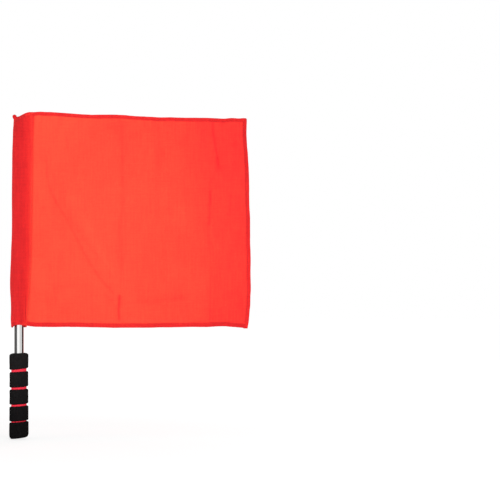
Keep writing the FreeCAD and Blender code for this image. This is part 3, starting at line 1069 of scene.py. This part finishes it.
def make_sleeve_stitches():
    """The stitches along the seam, round the mouth and under the closed top."""
    start, end = seam_row_ends
    z = np.arange(mouth_z + start, cloth_top - end, stitch_pitch)
    seam = row_on_sleeve("sleeve_seam_stitches", seam_edge(z) - stitch_inset, z)
    left, right = mouth_row_shares
    x = np.arange(-left_edge(mouth_z) * left, seam_edge(mouth_z) * right, stitch_pitch)
    z = np.full(len(x), mouth_z + mouth_row_height)
    mouth = row_on_sleeve("sleeve_mouth_stitches", x, z)
    x = np.arange(closure_row_start, seam_reach, stitch_pitch)
    closure = row_on_sleeve("closure_stitches", x, closure_edge(x) - closure_row_drop)
    return seam, mouth, closure


def make_corner_tip():
    """The rolled-up hem at the sleeve's corner."""
    low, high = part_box("corner_tip")
    t = np.linspace(0, 1, tip_rows)[:, None]
    turn = np.linspace(0, tip_turns, tip_columns)
    spiral = 1 - tip_winding * rise(turn, tip_winding_turns)
    reach = np.concatenate([spiral, spiral[::-1] - tip_layer])
    angle = np.concatenate([turn, turn[::-1]]) * TURN + tip_start
    wide = high.x - low.x
    foot_x = low.x + tip_foot[0] * wide
    head_x = low.x + tip_head[0] * wide
    foot_z = low.z + tip_foot[1]
    head_z = high.z + tip_head[1]
    swell = np.sqrt(np.clip(1 - tip_taper * (2 * t - 1) ** 2, 0, 1))
    swell = swell * np.interp(t, (0, 1), tip_sizes)
    spread = swell * reach * (1 + bumps(angle, t, tip_crumples))
    side = wide / 2 * spread * np.cos(angle)
    x = foot_x + (head_x - foot_x) * t + side
    y = (high.y - low.y) / 2 * spread * np.sin(angle)
    sunk = tip_hollow * (1 - reach) * rise(t, tip_hollow_part)
    z = foot_z + (head_z - foot_z) * t + tip_tilt * side - sunk
    # Painted shade on the inner turns of the roll
    inside = np.clip(tip_inside_share - reach, 0, 1)
    tone = tip_tone - tip_inside_shade * inside + bumps(angle, t, tip_mottle)
    return grid_mesh("corner_tip_cloth", stack(x, y, z), tone, round_columns=True, capped=True)


# Grip

def rim_profile(radius, rim):
    """How far from the axis, and how far in from the end, a rounded rim runs."""
    across, deep = rim
    corner = np.linspace(0, math.pi / 2, rim_steps)
    flat = [foam_bore, (foam_bore + radius - across) / 2]
    reach = np.concatenate([flat, radius - across + across * np.sin(corner)])
    depth = np.concatenate([[0.0, 0.0], deep - deep * np.cos(corner)])
    return reach, depth


def foam_ring(name, radius, low, high, seed, pores):
    """A foam ring on the pole, between two slanted ends."""
    low_z, low_slant, low_rim = low
    high_z, high_slant, high_rim = high
    low_reach, low_depth = rim_profile(radius, low_rim)
    high_reach, high_depth = rim_profile(radius, high_rim)
    tall = high_z - low_z
    rows = max(least_foam_rows, int(tall / foam_row))
    wall = np.linspace(low_rim[1], tall - high_rim[1], rows)[1:-1]
    reach = np.concatenate([low_reach, np.full(len(wall), radius), high_reach[::-1]])[:, None]
    up = np.concatenate([low_depth, wall, tall - high_depth[::-1]])[:, None]
    angle = np.arange(foam_sides) / foam_sides * TURN
    outside = ease((reach - foam_bore) / (radius - foam_bore))
    joined = ease(np.minimum(angle, TURN - angle) / foam_join_angle)
    relief = bumps(angle * radius, up, foam_lumps, seed) * joined
    relief = relief + pores * noise(angle * radius, up, foam_pore_size, seed + 1)
    reach = reach + outside * relief
    x = reach * np.cos(angle) + outside * grip_lean
    y = reach * np.sin(angle)
    base = low_z + x * low_slant
    z = base + (high_z + x * high_slant - base) * up / tall
    return grid_mesh(name, stack(x, y, z), round_rows=True, round_columns=True, flip=True)


def make_grip(black, red):
    """The black foam bands and the red rings between them, from the top down."""
    high = grip_crown
    for index, (top_slant, foot_slant) in enumerate(zip(ring_top_slants, ring_foot_slants), 1):
        ring_low, ring_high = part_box(f"grip_ring_{index}")
        ring_top = ring_high.z - inset_radius * top_slant
        ring_foot = ring_low.z + inset_radius * foot_slant
        radius = grip_radius * grip_spreads[index - 1]
        low = (ring_top, top_slant, foam_edge)
        foam = foam_ring(f"grip_foam_{index}", radius, low, high, foam_seed + index, foam_pores)
        give(foam, black, "black_foam", "staff", f"grip_band_{index}")
        low = (ring_foot, foot_slant, inset_edge)
        high = (ring_top, top_slant, inset_edge)
        seed = inset_seed + index
        inset = foam_ring(f"grip_inset_{index}", inset_radius, low, high, seed, foam_pores / 2)
        give(inset, red, "red_foam", "staff", f"grip_ring_{index}")
        high = (ring_foot, foot_slant, foam_edge)
    radius = grip_radius * grip_spreads[-1]
    foam = foam_ring("grip_foam_5", radius, grip_foot, high, last_foam_seed, foam_pores)
    give(foam, black, "black_foam", "staff", "grip_band_5")


# Stage

def make_floor():
    """A pale floor, white to the camera but for a soft shadow."""
    height = floor_z - floor_gap
    corners = ((-1, -1), (1, -1), (1, 1), (-1, 1))
    points = np.array([(x * floor_reach, y * floor_reach, height) for x, y in corners])
    floor = finished("floor", points, [(0, 1, 2, 3)])
    material, tree, principled = shader("pale_floor")
    plug(tree, principled, {"Base Color": floor_grey, "Roughness": 0.9, "Specular IOR Level": 0.0})
    away = add(tree, "VectorMath")
    away.operation = "LENGTH"
    plug(tree, away, {0: add(tree, "TexCoord").outputs["Object"]})
    distance = away.outputs["Value"]
    growth, middle, most = floor_glow
    level = maths(tree, "MULTIPLY_ADD", distance, growth, middle)
    glow = add(tree, "Emission", {"Strength": maths(tree, "MINIMUM", level, most)})
    seen = seen_by(tree, "Is Camera Ray", "Is Glossy Ray", "Is Transmission Ray")
    surface = mixed(tree, maths(tree, "MULTIPLY", seen, floor_glow_share), principled, glow)
    plug(tree, tree.nodes["Material Output"], {"Surface": surface.outputs[0]})
    floor.data.materials.append(material)
    floor.visible_glossy = False


def make_world():
    """White to the camera, even light on the cloth, and a dark studio in the metal."""
    world = bpy.data.worlds.new("studio")
    scene.world = world
    world.use_nodes = True
    tree = world.node_tree
    way = add(tree, "SeparateXYZ", {"Vector": add(tree, "TexCoord").outputs["Generated"]}).outputs
    turn = maths(tree, "ARCTAN2", way["X"], maths(tree, "MULTIPLY", way["Y"], -1.0))
    share = maths(tree, "MULTIPLY_ADD", turn, 1 / TURN, 0.5)
    even = add(tree, "Background", {"Color": white, "Strength": fill_level})
    plain = add(tree, "Background", {"Color": white})
    screens = add(tree, "Background", {"Color": ramp(tree, share, studio_colours)})
    lighting = mixed(tree, seen_by(tree, "Is Glossy Ray"), even, screens)
    seen = seen_by(tree, "Is Camera Ray", "Is Transmission Ray")
    surface = mixed(tree, seen, lighting, plain)
    plug(tree, tree.nodes["World Output"], {"Surface": surface.outputs[0]})


def soft_lamp(name, place, size, level):
    """A square soft lamp, set for this level of light at the middle of the cloth."""
    data = bpy.data.lights.new(name, "AREA")
    data.size = size
    away = np.array(place) - np.array([fly_x / 2, 0, mouth_z + hoist / 2])
    data.energy = level * math.pi**2 * float(away @ away)
    lamp = placed(name, data)
    lamp.location = place
    turn = math.atan2(away[0], -away[1])
    lift = math.atan2(away[2], math.hypot(away[0], away[1]))
    lamp.rotation_euler = (math.pi / 2 - lift, 0, turn)
    lamp.visible_glossy = False
    lamp.visible_camera = False


def make_camera():
    """The photograph's view, with the flag in its left half."""
    data = bpy.data.cameras.new("camera")
    data.sensor_width = sensor_width
    data.lens = sensor_width * -camera_place[1] / view_width
    camera = placed("camera", data)
    camera.location = camera_place
    camera.rotation_euler = (math.pi / 2, 0, 0)
    scene.camera = camera


make_camera()
make_world()
for lamp in lamps:
    soft_lamp(*lamp)
make_floor()

cloth = cloth_material()
thread = grained_material(
    "red_twisted_thread", thread_twist, 1, thread_colours, thread_bump, thread_roughness)
black_foam = foam_material("black_foam_skin", black_foam_colours)
red_foam = foam_material("red_foam_skin", red_foam_colours)
steel = steel_material()
plastic = grained_material(
    "black_moulded_plastic", plastic_grain, 3, plastic_colours, plastic_bump, plastic_roughness)

panel = give(make_panel(), cloth, "red_cloth", "flag", "flag_panel")
for name, piece, sewing in make_hems():
    give(piece, cloth, "red_cloth", "flag", name)
    give(sewing, thread, "red_thread", "flag", name + "_thread")

sleeve = give(make_sleeve(), cloth, "red_cloth", "flag", "pole_sleeve", "sleeve_top")
seam_sewing, mouth_sewing, closure_sewing = make_sleeve_stitches()
give(seam_sewing, thread, "red_thread", "flag", "sleeve_seam_thread")
give(mouth_sewing, thread, "red_thread", "flag", "sleeve_mouth_thread")
give(closure_sewing, thread, "red_thread", "flag")
tip = give(make_corner_tip(), cloth, "red_cloth", "flag", "corner_tip")

make_grip(black_foam, red_foam)
for name, material in (("pole_tube", steel), ("pole_top_cap", plastic), ("pole_end_plug", plastic)):
    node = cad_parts[name]
    node.data.materials.clear()
    node.data.materials.append(material)

scene.view_settings.view_transform = "Standard"
